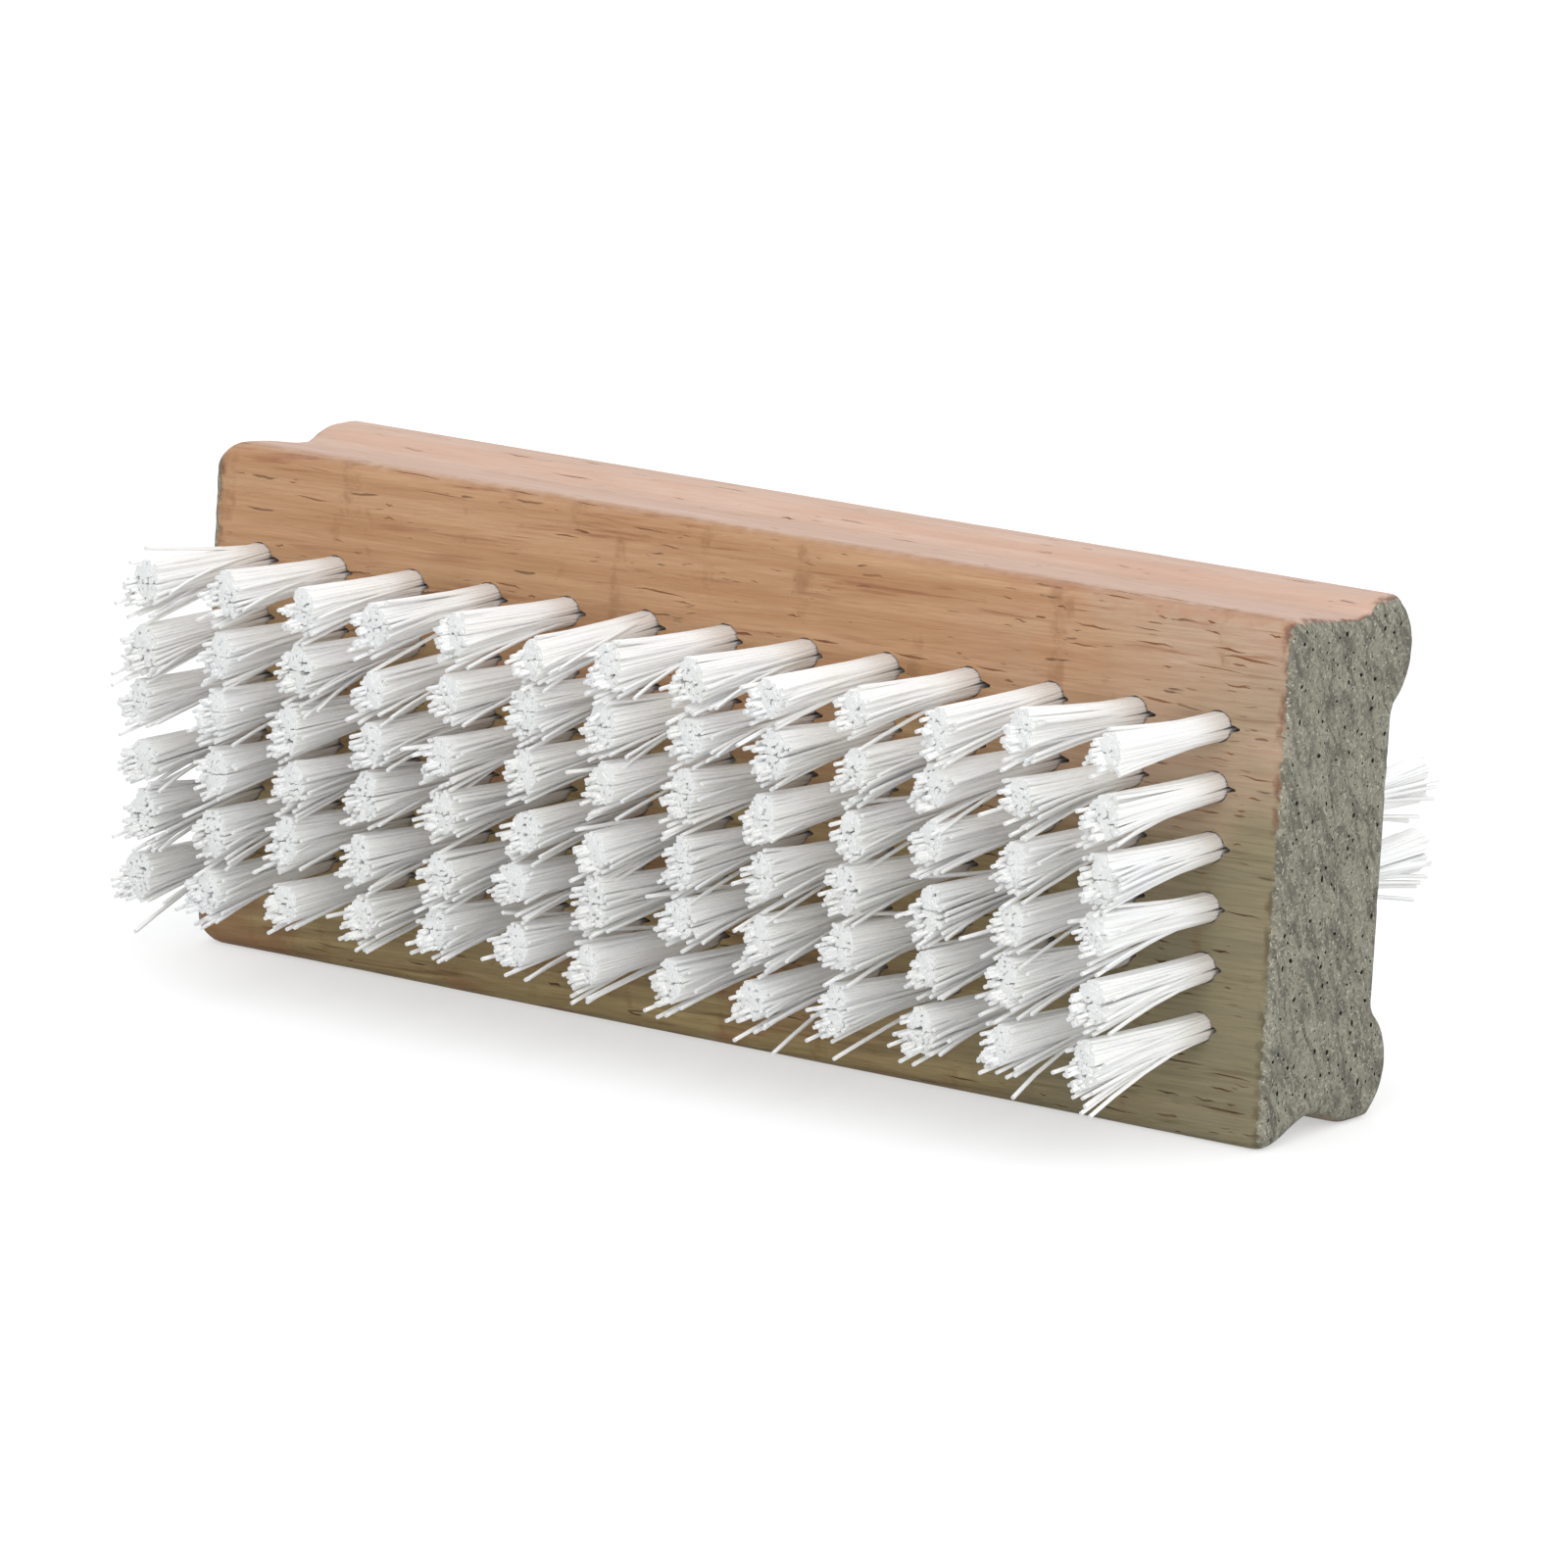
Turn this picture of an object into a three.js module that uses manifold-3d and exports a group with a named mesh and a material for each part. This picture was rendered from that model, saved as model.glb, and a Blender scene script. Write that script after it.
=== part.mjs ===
// Double-sided wooden nail brush. A block of wood carries six rows of nylon tufts on its front
// face and two rows in a channel on its back. Each tuft is folded over a flat wire staple near
// the bottom of a drilled hole. Millimetres, +Z up, front tufts toward -Y. The brush stands on
// one long edge, and the origin lies on that edge's level under the middle of the whole brush.
import * as THREE from "three";
import { mergeVertices } from "three/addons/utils/BufferGeometryUtils.js";
import Module from "manifold-3d";

const wasm = await Module();
wasm.setup();

// Wooden block
const blockLength = 95;
const blockHeight = 39;
const coreDepth = 15; // front face to channel floor
const frontArrisRadius = 1.2;
const leftCornerRadius = 2; // outline corners, seen from the front
const rightCornerRadius = 1.2;

// Finger grips, a shallow hollow along the top edge and another along the bottom edge
const topGripDepth = 1;
const topGripToRim = 3; // deepest line to the rim's edge
const bottomGripDepth = 1.5;
const bottomGripToRim = 6.5;

// Rims on both sides of the back channel
const rimRise = 2.6; // crest above the channel floor
const rimBeadRadius = 4.9;
const rimCoveRadius = 1.5; // where a rim runs into the channel floor
const rimCornerDrop = 1.9; // from the crest back to the outer corner
const rimEdgeWidth = 2.1; // flat strip between the finger grip and the outer corner

// Tuft field: counts, and margins from the block's edges to the outer tufts' centres
const columns = 13;
const frontRows = 6;
const backRows = 2;
const backRowPitch = 5.4;
const leftMargin = 4.4;
const rightMargin = 5.9;
const edgeMargin = 8.4;

// Bristle strands, four to a tuft, two on each side of the staple
const frontReach = 15.8; // free length
const backReach = 15.8;
const strandRadius = 0.32; // at the root
const strandTipRadius = 0.55;
const strandGap = 0.2; // between the two strands on one side of a staple
const strandTwist = 0.2; // radians, of a strand about itself
const tuftFlare = 0.5; // how far a strand leans out from root to tip, each way
const tipUnevenness = 1; // how much shorter the shortest strands are
const tipLevels = 7; // different strand lengths
const tipStride = { column: 5, row: 3, strand: 2 }; // levels skipped from one strand to the next

// Roots and staples inside the block
const middleWeb = 2.8; // wood left between the front and the back holes
const rootThickness = 1; // strip that ties the strands' roots together
const stapleThickness = 0.25;
const stapleDepth = 1.4; // along the hole
const stapleBite = 0.45; // into the wood on each side of a hole

// Clearances
const rootClearance = 0.1; // root strips and staples to the wood and to each other
const strandClearance = 0.1; // strands to the staple and to the hole's wall

// Grouping of the small pieces
const rowsPerBristleNode = 2;
const staplesPerNode = 3;

// Facets
const arrisSteps = 3;
const gripSteps = 5; // on each side of the deepest line
const beadSteps = 7;
const coveSteps = 3;
const cornerSteps = 4;
const holeSides = 8;
const strandSides = 3;
const cutMargin = 1; // how far a cutting shape runs past the face it opens

// Levels and pitches worked out from the sizes
const frontFace = (frontReach - coreDepth - backReach) / 2;
const channelFloor = frontFace + coreDepth;
const rimCrest = channelFloor + rimRise;
const middleHeight = blockHeight / 2;
const columnPitch = (blockLength - leftMargin - rightMargin) / (columns - 1);
const frontRowPitch = (blockHeight - 2 * edgeMargin) / (frontRows - 1);

// Depths below a bristled face, from its surface into the wood
const pocketBottom = (coreDepth - middleWeb) / 2;
const rootBottom = pocketBottom - rootClearance;
const rootTop = rootBottom - rootThickness;
const stapleBottom = rootTop - rootClearance;

// Places of the four strands round a tuft's axis, and the hole that clears them at its mouth
const strandSideways = strandGap / 2 + strandRadius;
const strandFlat = strandRadius * Math.cos(Math.PI / strandSides - strandTwist);
const strandAside = stapleThickness / 2 + strandClearance + strandFlat;
const mouthShare = rootTop / (rootTop + Math.min(frontReach, backReach));
const mouthLean = tuftFlare * mouthShare;
const mouthRadius = strandRadius + (strandTipRadius - strandRadius) * mouthShare;
const mouthSpread = Math.hypot(strandSideways + mouthLean, strandAside + mouthLean) + mouthRadius;
const holeRadius = (mouthSpread + strandClearance) / Math.cos(Math.PI / holeSides);
const stapleHalfLength = holeRadius + stapleBite;

const frontHeights = rowHeights(frontRows, frontRowPitch);
const backHeights = rowHeights(backRows, backRowPitch);
const faces = [
  { name: "front", out: -1, surface: frontFace, reach: frontReach, rows: frontHeights },
  { name: "back", out: 1, surface: channelFloor, reach: backReach, rows: backHeights },
];
const allPlaces = columnPlaces();
const placeGroups = chunks(allPlaces, staplesPerNode);

function rowHeights(count, pitch) {
  return Array.from({ length: count }, (_, row) => middleHeight + ((count - 1) / 2 - row) * pitch);
}

function columnPlaces() {
  const first = leftMargin - blockLength / 2;
  return Array.from({ length: columns }, (_, column) => first + column * columnPitch);
}

function depthPlace(face, depth) {
  return face.surface - face.out * depth;
}

function chunks(list, size) {
  const groups = [];
  for (let start = 0; start < list.length; start += size) {
    groups.push(list.slice(start, start + size));
  }
  return groups;
}

function solidOf(geometry) {
  geometry.deleteAttribute("normal");
  geometry.deleteAttribute("uv");
  const merged = mergeVertices(geometry);
  const vertProperties = merged.attributes.position.array;
  const triVerts = new Uint32Array(merged.index.array);
  return new wasm.Manifold(new wasm.Mesh({ numProp: 3, vertProperties, triVerts }));
}

function geometryOf(solid) {
  const { vertProperties, triVerts } = solid.getMesh();
  const geometry = new THREE.BufferGeometry();
  geometry.setAttribute("position", new THREE.BufferAttribute(vertProperties, 3));
  geometry.setIndex(new THREE.BufferAttribute(triVerts, 1));
  geometry.computeVertexNormals();
  return geometry;
}

// One edge of the block's cross-section from the front face to the channel floor,
// as points of depth (Y) and height above the middle.
function edgeSection(gripDepth, gripToRim) {
  const top = blockHeight / 2;
  const points = [];
  const addArc = (y, height, radius, startAngle, endAngle, steps) => {
    for (let i = 0; i <= steps; i++) {
      const angle = startAngle + ((endAngle - startAngle) * i) / steps;
      points.push([y + radius * Math.cos(angle), height + radius * Math.sin(angle)]);
    }
  };
  const gripStart = frontFace + frontArrisRadius;
  addArc(gripStart, top - frontArrisRadius, frontArrisRadius, Math.PI, Math.PI / 2, arrisSteps);
  const rimCorner = rimCrest - rimCornerDrop;
  const gripEnd = rimCorner - rimEdgeWidth;
  const deepest = gripEnd - gripToRim;
  for (let i = 1; i <= 2 * gripSteps; i++) {
    const t = i / gripSteps - 1;
    const y = deepest + t * (t < 0 ? deepest - gripStart : gripToRim);
    points.push([y, top - (gripDepth / 2) * (1 + Math.cos(Math.PI * t))]);
  }
  const beadCentre = rimCrest - rimBeadRadius;
  const cornerAngle = Math.acos((rimCorner - beadCentre) / rimBeadRadius);
  const beadHeight = top - rimBeadRadius * Math.sin(cornerAngle);
  const coveCentre = channelFloor + rimCoveRadius;
  const coveAngle = Math.acos((coveCentre - beadCentre) / (rimBeadRadius + rimCoveRadius));
  const coveHeight = beadHeight - (rimBeadRadius + rimCoveRadius) * Math.sin(coveAngle);
  addArc(beadCentre, beadHeight, rimBeadRadius, cornerAngle, -coveAngle, beadSteps);
  points.pop();
  addArc(coveCentre, coveHeight, rimCoveRadius, Math.PI - coveAngle, Math.PI, coveSteps);
  return points;
}

// Rounded outline of the block as seen from the front.
function frontOutline() {
  const end = blockLength / 2;
  const top = blockHeight / 2;
  const quarter = Math.PI / 2;
  const outline = new THREE.Shape();
  const addCorner = (sideways, up, radius, start) => {
    outline.absarc(sideways * (end - radius), up * (top - radius), radius, start, start + quarter);
  };
  addCorner(1, 1, rightCornerRadius, 0);
  addCorner(-1, 1, leftCornerRadius, quarter);
  addCorner(-1, -1, leftCornerRadius, 2 * quarter);
  addCorner(1, -1, rightCornerRadius, 3 * quarter);
  return outline;
}

// The moulded bar, with its ends rounded to the front outline.
function plainBlock() {
  const upper = edgeSection(topGripDepth, topGripToRim);
  const lower = edgeSection(bottomGripDepth, bottomGripToRim).map(([y, height]) => [y, -height]);
  const corners = [...upper, ...lower.reverse()].map((point) => new THREE.Vector2(...point));
  const bar = new THREE.ExtrudeGeometry(new THREE.Shape(corners), {
    depth: blockLength,
    bevelEnabled: false,
  });
  const alongX = new THREE.Matrix4().makeBasis(
    new THREE.Vector3(0, 1, 0),
    new THREE.Vector3(0, 0, 1),
    new THREE.Vector3(1, 0, 0),
  );
  bar.applyMatrix4(alongX);
  bar.translate(-blockLength / 2, 0, middleHeight);
  const slab = new THREE.ExtrudeGeometry(frontOutline(), {
    depth: rimCrest - frontFace + 2 * cutMargin,
    bevelEnabled: false,
    curveSegments: cornerSteps,
  });
  slab.rotateX(Math.PI / 2);
  slab.translate(0, rimCrest + cutMargin, middleHeight);
  return solidOf(bar).intersect(solidOf(slab));
}

// Size and centre of the box over some columns and rows of a face, between two depths.
function fieldBox(face, places, heights, halfWidth, halfHeight, depths) {
  const low = new THREE.Vector2(places[0] - halfWidth, heights[heights.length - 1] - halfHeight);
  const high = new THREE.Vector2(places[places.length - 1] + halfWidth, heights[0] + halfHeight);
  const middle = depthPlace(face, (depths[0] + depths[1]) / 2);
  return {
    size: new THREE.Vector3(high.x - low.x, depths[1] - depths[0], high.y - low.y),
    centre: new THREE.Vector3((low.x + high.x) / 2, middle, (low.y + high.y) / 2),
  };
}

function rootBox(face, heights) {
  return fieldBox(face, allPlaces, heights, holeRadius, holeRadius, [rootTop, rootBottom]);
}

function stapleBox(face, places, height) {
  const depths = [stapleBottom - stapleDepth, stapleBottom];
  return fieldBox(face, places, [height], stapleHalfLength, stapleThickness / 2, depths);
}

// Solid of a box, grown all round by a clearance.
function boxSolid({ size, centre }, clearance) {
  const box = new THREE.BoxGeometry(...size.clone().addScalar(2 * clearance));
  box.translate(...centre);
  return solidOf(box);
}

// Drilled hole from outside a face down into the pocket of the root strip.
function holeCutter(face, place, height) {
  const bottom = (rootTop + rootBottom) / 2;
  const length = bottom + cutMargin;
  const hole = new THREE.CylinderGeometry(holeRadius, holeRadius, length, holeSides);
  hole.rotateY(Math.PI / holeSides);
  hole.translate(place, depthPlace(face, bottom - length / 2), height);
  return hole;
}

function drilledBlock() {
  let block = plainBlock();
  for (const face of faces) {
    for (const heights of chunks(face.rows, rowsPerBristleNode)) {
      block = block.subtract(boxSolid(rootBox(face, heights), rootClearance));
    }
    for (const height of face.rows) {
      for (const places of placeGroups) {
        let cutter = boxSolid(stapleBox(face, places, height), rootClearance);
        for (const place of places) {
          cutter = cutter.add(solidOf(holeCutter(face, place, height)));
        }
        block = block.subtract(cutter);
      }
    }
  }
  return block;
}

// One strand, from inside its root strip to its tip, with a flat side toward the staple.
function strandSolid(face, place, height, sideways, aside, shorter) {
  const embed = rootThickness / 2;
  const length = embed + rootTop + face.reach - shorter;
  const ends = face.out > 0 ? [strandTipRadius, strandRadius] : [strandRadius, strandTipRadius];
  const strand = new THREE.CylinderGeometry(...ends, length, strandSides);
  strand.rotateY(aside < 0 ? Math.PI : 0);
  strand.rotateY(sideways * aside * strandTwist);
  strand.translate(0, face.out * (length / 2 - embed), 0);
  const lean = (face.out * tuftFlare) / (rootTop + face.reach);
  strand.applyMatrix4(new THREE.Matrix4().makeShear(0, 0, sideways * lean, aside * lean, 0, 0));
  strand.translate(
    place + sideways * strandSideways,
    depthPlace(face, rootTop),
    height + aside * strandAside,
  );
  return solidOf(strand);
}

// Bristles of some rows of a face, tied together by the strip at their roots.
function bristleSolid(face, heights) {
  const corners = [[-1, -1], [1, -1], [-1, 1], [1, 1]];
  let bristles = boxSolid(rootBox(face, heights), 0);
  heights.forEach((height, row) => {
    allPlaces.forEach((place, column) => {
      corners.forEach(([sideways, aside], corner) => {
        const skipped = tipStride.column * column + tipStride.row * row + tipStride.strand * corner;
        const level = skipped % tipLevels;
        const shorter = (tipUnevenness * level) / (tipLevels - 1);
        bristles = bristles.add(strandSolid(face, place, height, sideways, aside, shorter));
      });
    });
  });
  return bristles;
}

function woodFinish() {
  return new THREE.MeshStandardMaterial({ color: 0xb98d62, roughness: 0.75, metalness: 0 });
}

function nylonFinish() {
  return new THREE.MeshStandardMaterial({ color: 0xf1f0ec, roughness: 0.4, metalness: 0 });
}

function stapleFinish() {
  return new THREE.MeshStandardMaterial({ color: 0xb4b4ae, roughness: 0.4, metalness: 1 });
}

const brush = new THREE.Group();

function addPiece(group, name, geometry, material) {
  const piece = new THREE.Mesh(geometry, material);
  piece.name = name;
  group.add(piece);
  return piece;
}

addPiece(brush, "wood_block", geometryOf(drilledBlock()), woodFinish());
for (const face of faces) {
  const side = new THREE.Group();
  chunks(face.rows, rowsPerBristleNode).forEach((heights, group) => {
    const firstRow = group * rowsPerBristleNode + 1;
    const name = `${face.name}_bristles_rows_${firstRow}_to_${firstRow + heights.length - 1}`;
    addPiece(side, name, geometryOf(bristleSolid(face, heights)), nylonFinish());
  });
  face.rows.forEach((height, row) => {
    placeGroups.forEach((places, group) => {
      const { size, centre } = stapleBox(face, places, height);
      const name = `${face.name}_row_${row + 1}_staples_${group + 1}`;
      const staples = addPiece(side, name, new THREE.BoxGeometry(...size), stapleFinish());
      staples.position.copy(centre);
    });
  });
  brush.add(side);
}

export default brush;
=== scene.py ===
import math

import bmesh
import bpy
import numpy as np
from mathutils import Matrix, Vector, noise
from mathutils.geometry import delaunay_2d_cdt


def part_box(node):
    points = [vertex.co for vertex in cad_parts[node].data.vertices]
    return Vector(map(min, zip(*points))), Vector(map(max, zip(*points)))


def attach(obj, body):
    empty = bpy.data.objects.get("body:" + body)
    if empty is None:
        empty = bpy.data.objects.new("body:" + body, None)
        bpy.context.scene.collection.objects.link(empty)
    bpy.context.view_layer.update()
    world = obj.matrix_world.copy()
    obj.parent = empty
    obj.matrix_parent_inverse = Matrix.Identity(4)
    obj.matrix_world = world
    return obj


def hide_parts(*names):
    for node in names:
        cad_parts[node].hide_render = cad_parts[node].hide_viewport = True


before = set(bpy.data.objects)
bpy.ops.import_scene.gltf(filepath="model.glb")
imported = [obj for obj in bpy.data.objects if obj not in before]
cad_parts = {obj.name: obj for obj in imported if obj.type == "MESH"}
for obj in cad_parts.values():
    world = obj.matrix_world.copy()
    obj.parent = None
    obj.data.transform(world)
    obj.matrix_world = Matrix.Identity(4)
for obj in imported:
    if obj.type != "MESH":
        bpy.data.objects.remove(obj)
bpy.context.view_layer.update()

mm = 0.001

# Places taken from the frame
blockLow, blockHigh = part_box("wood_block")
middleHeight = blockHigh.z / 2
rowCounts = {"front": 6, "back": 2}
stapleGroups = 5
columnCount = 13


def boxMiddle(node):
    low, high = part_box(node)
    return (low + high) / 2


def rowHeights(face):
    return [boxMiddle(f"{face}_row_{row + 1}_staples_1").z for row in range(rowCounts[face])]


firstStapleLow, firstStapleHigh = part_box("front_row_1_staples_1")
lastStapleLow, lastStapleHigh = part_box(f"front_row_1_staples_{stapleGroups}")
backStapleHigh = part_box("back_row_1_staples_1")[1]
stapleHalf = (lastStapleHigh.x - lastStapleLow.x) / 2
firstColumn = firstStapleLow.x + stapleHalf
columnPitch = (lastStapleLow.x + stapleHalf - firstColumn) / (columnCount - 1)
columnPlaces = [firstColumn + column * columnPitch for column in range(columnCount)]
stapleTop = firstStapleLow.y - blockLow.y  # depths below a bristled face
stapleBottom = firstStapleHigh.y - blockLow.y
channelFloor = backStapleHigh.y + stapleTop
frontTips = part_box("front_bristles_rows_1_to_2")[0].y
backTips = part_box("back_bristles_rows_1_to_2")[1].y
faces = {
    "front": {"out": -1, "surface": blockLow.y, "reach": blockLow.y - frontTips},
    "back": {"out": 1, "surface": channelFloor, "reach": backTips - channelFloor},
}
for faceName, face in faces.items():
    face["rows"] = rowHeights(faceName)
print("frame read:", len(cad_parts), "nodes")


# Small helpers
def newObject(name, mesh):
    made = bpy.data.objects.new(name, mesh)
    bpy.context.scene.collection.objects.link(made)
    return made


def meshFrom(name, points, polygons, smooth=True):
    mesh = bpy.data.meshes.new(name)
    mesh.from_pydata([tuple(p) for p in points], [], [tuple(p) for p in polygons])
    mesh.validate()
    if smooth:
        mesh.shade_smooth()
    return mesh


def closedMesh(name, points, polygons, smooth=True):
    mesh = meshFrom(name, points, polygons, smooth)
    bm = bmesh.new()
    bm.from_mesh(mesh)
    bmesh.ops.recalc_face_normals(bm, faces=bm.faces)
    bm.to_mesh(mesh)
    bm.free()
    return mesh


# Four-sided faces between rings of points that follow one another
def joinRings(polygons, start, rings, sides):
    for ring in range(rings - 1):
        for i in range(sides):
            a = start + ring * sides + i
            b = start + ring * sides + (i + 1) % sides
            polygons.append((a, b, b + sides, a + sides))


def closeRings(polygons, start, rings, sides):
    last = start + (rings - 1) * sides
    polygons.append(tuple(range(start, start + sides)))
    polygons.append(tuple(range(last, last + sides))[::-1])


def tint(red, green, blue):
    def toLinear(value):
        value /= 255
        return value / 12.92 if value <= 0.04045 else ((value + 0.055) / 1.055) ** 2.4
    return (toLinear(red), toLinear(green), toLinear(blue), 1)


# Camera
cameraView = {
    "azimuth": 32.285,
    "elevation": 11.633,
    "roll": -3.182,
    "distance": 784.94 * mm,
    "target": Vector((-0.27, 1.03, 18.53)) * mm,
    "lens": 241.2,
    "sensor": 36,
    "clipEnd": 50,
}


def placeCamera(view):
    turn = math.radians(view["azimuth"])
    lift = math.radians(view["elevation"])
    roll = math.radians(view["roll"])
    outward = Vector((math.sin(turn) * math.cos(lift), -math.cos(turn) * math.cos(lift), math.sin(lift)))
    level = Vector((math.cos(turn), math.sin(turn), 0))
    upright = outward.cross(level)
    right = level * math.cos(roll) - upright * math.sin(roll)
    up = level * math.sin(roll) + upright * math.cos(roll)
    data = bpy.data.cameras.new("photoCamera")
    data.lens = view["lens"]
    data.sensor_width = view["sensor"]
    data.clip_end = view["clipEnd"]
    made = newObject("photoCamera", data)
    matrix = Matrix((right, up, outward)).transposed().to_4x4()
    matrix.translation = view["target"] + outward * view["distance"]
    made.matrix_world = matrix
    bpy.context.scene.camera = made


placeCamera(cameraView)
bpy.context.scene.view_settings.view_transform = "Standard"
print("camera placed")


# Shader building
def addNode(tree, kind, values=None, **settings):
    made = tree.nodes.new(kind)
    for name, value in settings.items():
        setattr(made, name, value)
    for name, value in (values or {}).items():
        feed(tree, made.inputs[name], value)
    return made


def feed(tree, socket, value):
    if isinstance(value, bpy.types.NodeSocket):
        tree.links.new(value, socket)
    else:
        socket.default_value = value


def mathOf(tree, operation, first, second=0.0, third=0.0):
    values = {0: first, 1: second, 2: third}
    return addNode(tree, "ShaderNodeMath", values, operation=operation).outputs[0]


def times(tree, first, second):
    return mathOf(tree, "MULTIPLY", first, second)


def vectorOf(tree, operation, first, second, third=(0, 0, 0)):
    values = {0: first, 1: second, 2: third}
    return addNode(tree, "ShaderNodeVectorMath", values, operation=operation).outputs[0]


def fade(tree, value, start, end, low=0.0, high=1.0):
    values = {"Value": value, "From Min": start, "From Max": end, "To Min": low, "To Max": high}
    return addNode(tree, "ShaderNodeMapRange", values, interpolation_type="SMOOTHSTEP").outputs["Result"]


def mixOf(tree, factor, first, second):
    values = {0: factor, 6: first, 7: second}
    return addNode(tree, "ShaderNodeMix", values, data_type="RGBA").outputs[2]


def mixValues(tree, factor, first, second):
    values = {0: factor, 2: first, 3: second}
    return addNode(tree, "ShaderNodeMix", values, data_type="FLOAT").outputs[0]


def stretched(tree, vector, scale, rotation=(0, 0, 0)):
    made = addNode(tree, "ShaderNodeMapping", {"Vector": vector, "Scale": scale, "Rotation": rotation})
    return made.outputs["Vector"]


def cloud(tree, vector, scale=1.0, detail=3.0, roughness=0.5, distortion=0.0):
    values = {"Vector": vector, "Scale": scale, "Detail": detail}
    values |= {"Roughness": roughness, "Distortion": distortion}
    return addNode(tree, "ShaderNodeTexNoise", values).outputs["Fac"]


def addBump(tree, shader, height, distance, strength):
    bump = addNode(tree, "ShaderNodeBump", {"Height": height, "Distance": distance, "Strength": strength})
    feed(tree, shader.inputs["Normal"], bump.outputs["Normal"])


# Groups take a position and some values, and give values
def newGroup(name, inputs, outputs):
    tree = bpy.data.node_groups.new(name, "ShaderNodeTree")
    tree.interface.new_socket("Position", in_out="INPUT", socket_type="NodeSocketVector")
    for socketName, value in inputs.items():
        socket = tree.interface.new_socket(socketName, in_out="INPUT", socket_type="NodeSocketFloat")
        socket.default_value = value
    for socketName in outputs:
        tree.interface.new_socket(socketName, in_out="OUTPUT", socket_type="NodeSocketFloat")
    return tree, addNode(tree, "NodeGroupInput"), addNode(tree, "NodeGroupOutput")


def useGroup(tree, group, values):
    return addNode(tree, "ShaderNodeGroup", values, node_tree=group).outputs


def emptyMaterial(name):
    material = bpy.data.materials.new(name)
    material.use_nodes = True
    material.node_tree.nodes.clear()
    return material, material.node_tree


# The place is in millimetres, so that every pattern below is written in real sizes
def newMaterial(name):
    material, tree = emptyMaterial(name)
    shader = addNode(tree, "ShaderNodeBsdfPrincipled")
    addNode(tree, "ShaderNodeOutputMaterial", {"Surface": shader.outputs[0]})
    place = addNode(tree, "ShaderNodeTexCoord").outputs["Object"]
    return material, tree, shader, stretched(tree, place, (1 / mm, 1 / mm, 1 / mm))


# The grain runs along the block, tipped by the slant
def alongGrain(tree, given):
    values = {"Vector": given.outputs["Position"], "Angle": given.outputs["Slant"]}
    return addNode(tree, "ShaderNodeVectorRotate", values, rotation_type="Y_AXIS").outputs["Vector"]


# Layers of the grain: noise per millimetre, and the span of it that counts
grainLayers = {
    "Bands": {
        "stretch": (0.03, 0.4, 0.55),
        "span": (0.3, 0.7),
        "noise": {"detail": 5, "roughness": 0.65, "distortion": 0.6},
    },
    "Fibres": {
        "stretch": (0.16, 3.6, 3.6),
        "span": (0.25, 0.75),
        "noise": {"detail": 5, "roughness": 0.7, "distortion": 0.5},
    },
    "Blotches": {"stretch": (0.09, 0.14, 0.14), "span": (0.35, 0.65), "noise": {"detail": 2}},
    "Streaks": {
        "stretch": (0.09, 1.0, 1.4),
        "span": (0.55, 0.7),
        "noise": {"detail": 4, "roughness": 0.6, "distortion": 0.4},
    },
}
crossMarks = {
    "layers": [
        {"share": 0.3, "stretch": (0.5, 0.2, 0.22), "noise": {"detail": 3, "roughness": 0.6}},
        {"share": 0.5, "stretch": (0.3, 0.1, 0.05), "noise": {"detail": 1}},
        {"share": 0.35, "stretch": (0.75, 0.75, 0.75), "noise": {"detail": 4, "roughness": 0.65}},
    ],
    "span": (0.635, 0.74),
}


def makeGrainGroup(layers, marks):
    tree, given, result = newGroup("woodGrain", {"Slant": 0.0}, [*layers, "CrossMarks"])
    turned = alongGrain(tree, given)
    for name, layer in layers.items():
        field = cloud(tree, stretched(tree, turned, layer["stretch"]), **layer["noise"])
        feed(tree, result.inputs[name], fade(tree, field, *layer["span"]))
    total = 0.0
    for layer in marks["layers"]:
        field = cloud(tree, stretched(tree, given.outputs["Position"], layer["stretch"]), **layer["noise"])
        total = mathOf(tree, "MULTIPLY_ADD", field, layer["share"], total)
    feed(tree, result.inputs["CrossMarks"], fade(tree, total, *marks["span"]))
    return tree


vesselLook = {"wanderScale": 0.35, "wanderDetail": 2.0, "wander": 0.9, "core": 0.5, "keepFade": 0.1}


# Vessels run along the block: dashes on its long sides, dots on its sawn ends
def makePoreGroup(look):
    inputs = {"Slant": 0.0, "Length": 9.0, "Spacing": 0.6, "Size": 0.2, "Keep": 0.6}
    tree, given, result = newGroup("woodPores", inputs, ["Mask"])
    turned = alongGrain(tree, given)
    values = {"Vector": turned, "Scale": look["wanderScale"], "Detail": look["wanderDetail"]}
    wander = addNode(tree, "ShaderNodeTexNoise", values).outputs["Color"]
    shift = vectorOf(tree, "SUBTRACT", wander, (0.5, 0.5, 0.5))
    bent = vectorOf(tree, "MULTIPLY_ADD", shift, (look["wander"],) * 3, turned)
    along = mathOf(tree, "DIVIDE", 1.0, given.outputs["Length"])
    across = mathOf(tree, "DIVIDE", 1.0, given.outputs["Spacing"])
    scale = addNode(tree, "ShaderNodeCombineXYZ", {"X": along, "Y": across, "Z": across}).outputs[0]
    cells = vectorOf(tree, "MULTIPLY", bent, scale)
    vessel = addNode(tree, "ShaderNodeTexVoronoi", {"Vector": cells, "Scale": 1.0}, feature="F1")
    drawn = addNode(tree, "ShaderNodeSeparateColor", {"Color": vessel.outputs["Color"]}).outputs[0]
    size = given.outputs["Size"]
    keep = given.outputs["Keep"]
    core = fade(tree, vessel.outputs["Distance"], size, times(tree, size, look["core"]))
    kept = fade(tree, drawn, keep, mathOf(tree, "SUBTRACT", keep, look["keepFade"]))
    feed(tree, result.inputs["Mask"], times(tree, core, kept))
    return tree


noiseSpan = (0.3, 0.7)  # most values of a noise lie in here


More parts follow.
